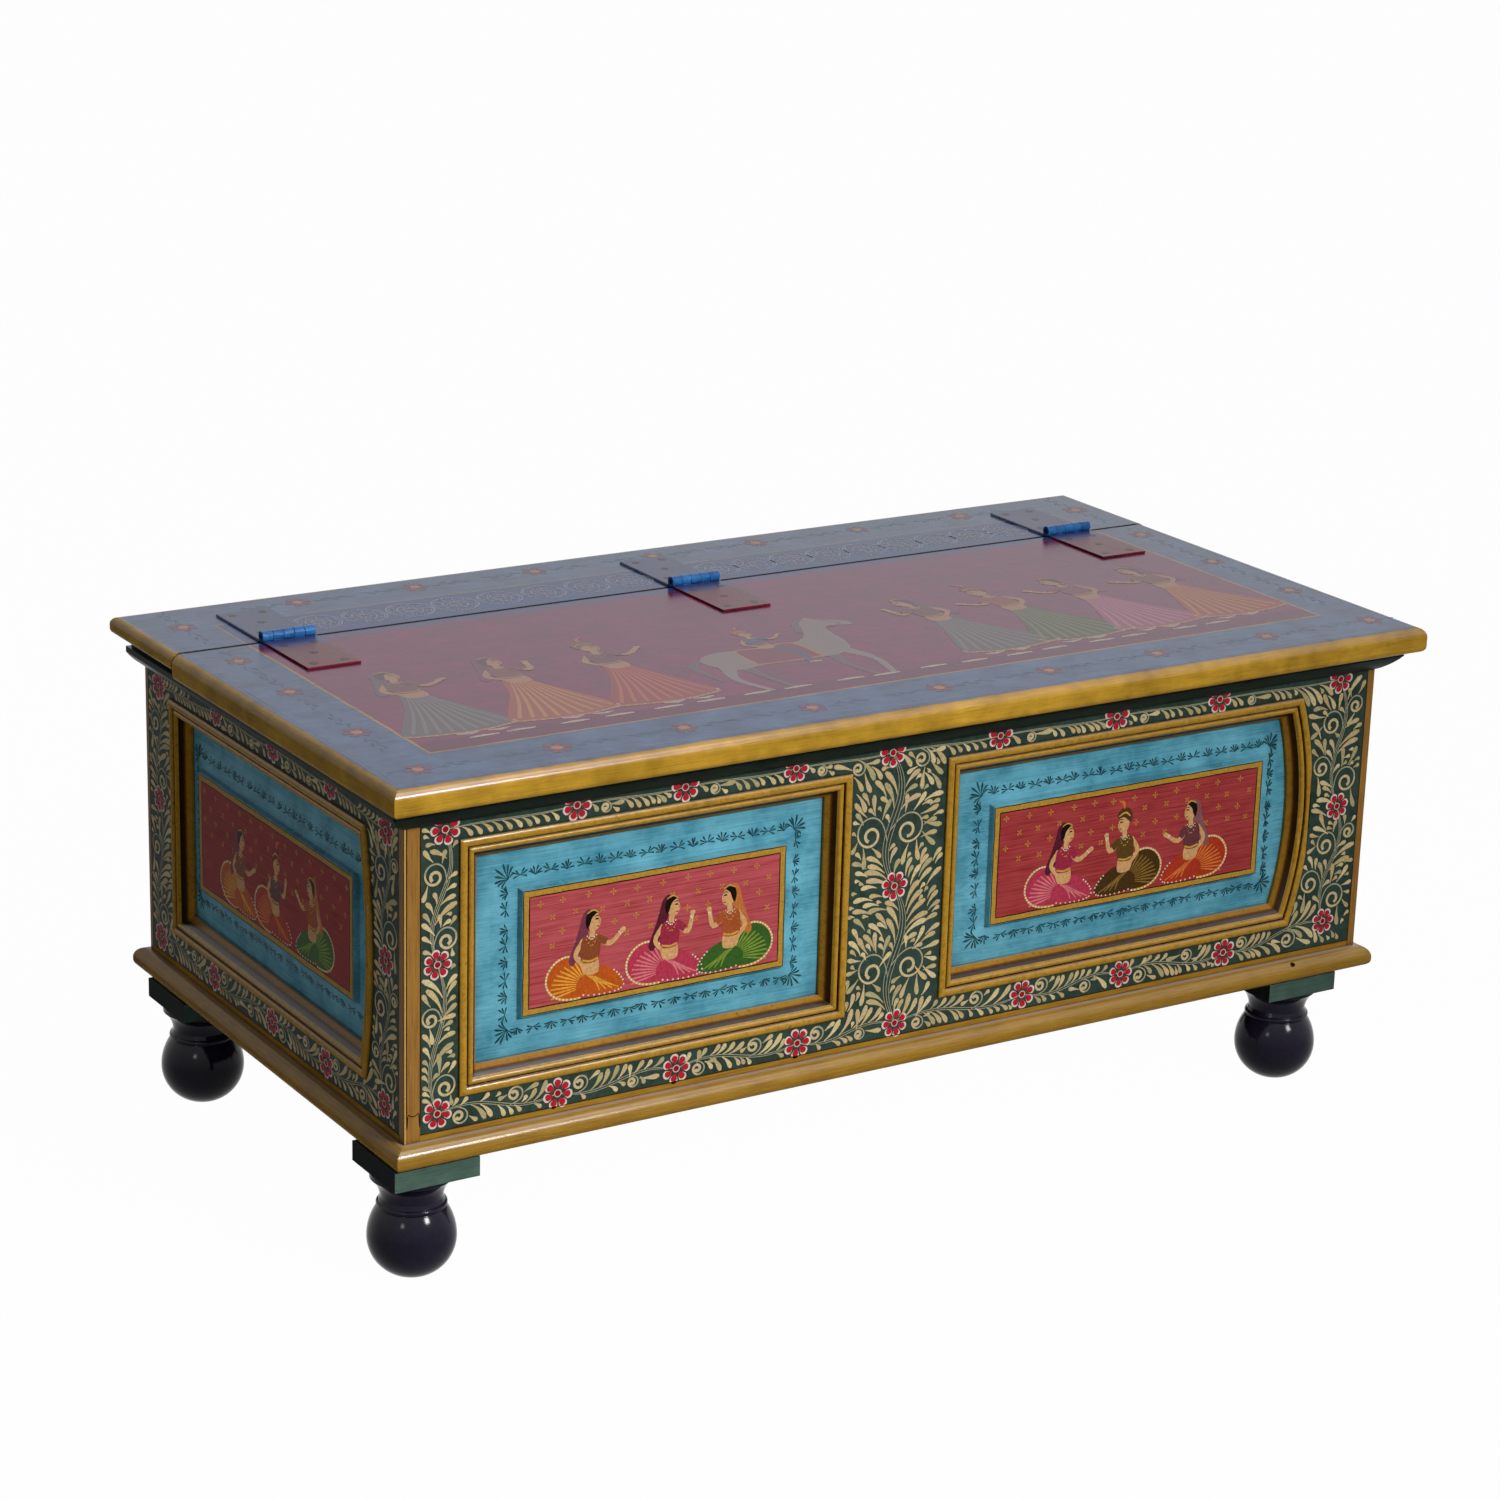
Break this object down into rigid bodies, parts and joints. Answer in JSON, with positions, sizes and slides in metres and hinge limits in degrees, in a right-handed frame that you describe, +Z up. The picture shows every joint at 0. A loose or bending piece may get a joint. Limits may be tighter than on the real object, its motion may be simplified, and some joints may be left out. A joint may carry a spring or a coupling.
{
  "type": "painted trunk",
  "caption": "Low painted wooden trunk on turned ball feet, with framed and fielded panel sides and a top flap hinged to a fixed rear strip.",
  "frame": {"origin": "on the floor, under the middle of the lid's outline", "axes": "+X along the length to the viewer's right, +Y from the front to the back, +Z up"},
  "size_m": [1.08, 0.577, 0.4653],
  "materials": {
    "frame_green": "gloss",
    "bed_green": "gloss",
    "ochre_paint": "gloss",
    "panel_turquoise": "gloss",
    "lid_blue": "gloss",
    "black_lacquer": "gloss",
    "plate_green": "satin",
    "bare_wood": "matte",
    "hinge_paint": "satin",
    "hinge_steel": "satin"
  },
  "bodies": {
    "chest": {"back_bottom_rail": "frame_green", "back_muntin": "frame_green", "back_panel_left": "panel_turquoise", "back_panel_mouldings": "ochre_paint", "back_panel_right": "panel_turquoise", "back_stile_left": "frame_green", "back_stile_right": "frame_green", "back_top_rail": "frame_green", "base_moulding_back": "ochre_paint", "base_moulding_front": "ochre_paint", "base_moulding_left": "ochre_paint", "base_moulding_right": "ochre_paint", "bed_moulding_front": "bed_green", "bed_moulding_left": "bed_green", "bed_moulding_right": "bed_green", "floor_board": "bare_wood", "foot_back_left": "black_lacquer", "foot_back_right": "black_lacquer", "foot_front_left": "black_lacquer", "foot_front_right": "black_lacquer", "foot_plate_back_left": "plate_green", "foot_plate_back_right": "plate_green", "foot_plate_front_left": "plate_green", "foot_plate_front_right": "plate_green", "front_bottom_rail": "frame_green", "front_muntin": "frame_green", "front_panel_left": "panel_turquoise", "front_panel_left_moulding": "ochre_paint", "front_panel_right": "panel_turquoise", "front_panel_right_moulding": "ochre_paint", "front_stile_left": "frame_green", "front_stile_right": "frame_green", "front_top_rail": "frame_green", "hinge_left_fixed_leaf": "hinge_paint", "hinge_middle_fixed_leaf": "hinge_paint", "hinge_pins": "hinge_steel", "hinge_right_fixed_leaf": "hinge_paint", "hinge_screws_fixed": "hinge_steel", "left_end_bottom_rail": "frame_green", "left_end_panel": "panel_turquoise", "left_end_panel_moulding": "ochre_paint", "left_end_stile_back": "frame_green", "left_end_stile_front": "frame_green", "left_end_top_rail": "frame_green", "rear_strip": "lid_blue", "right_end_bottom_rail": "frame_green", "right_end_panel": "panel_turquoise", "right_end_panel_moulding": "ochre_paint", "right_end_stile_back": "frame_green", "right_end_stile_front": "frame_green", "right_end_top_rail": "frame_green"},
    "flap": {"flap_board": "lid_blue", "flap_cleats": "bare_wood", "flap_lipping_front": "ochre_paint", "flap_lipping_left": "ochre_paint", "flap_lipping_right": "ochre_paint", "hinge_left_moving_leaf": "hinge_paint", "hinge_middle_moving_leaf": "hinge_paint", "hinge_right_moving_leaf": "hinge_paint", "hinge_screws_moving": "hinge_steel"}
  },
  "joints": [
    {"name": "flap_hinge", "type": "hinge", "parent": "chest", "child": "flap", "pos_m": [0, 0.149, 0.4603], "axis": [-1, 0, 0], "range_deg": [0, 180]}
  ]
}
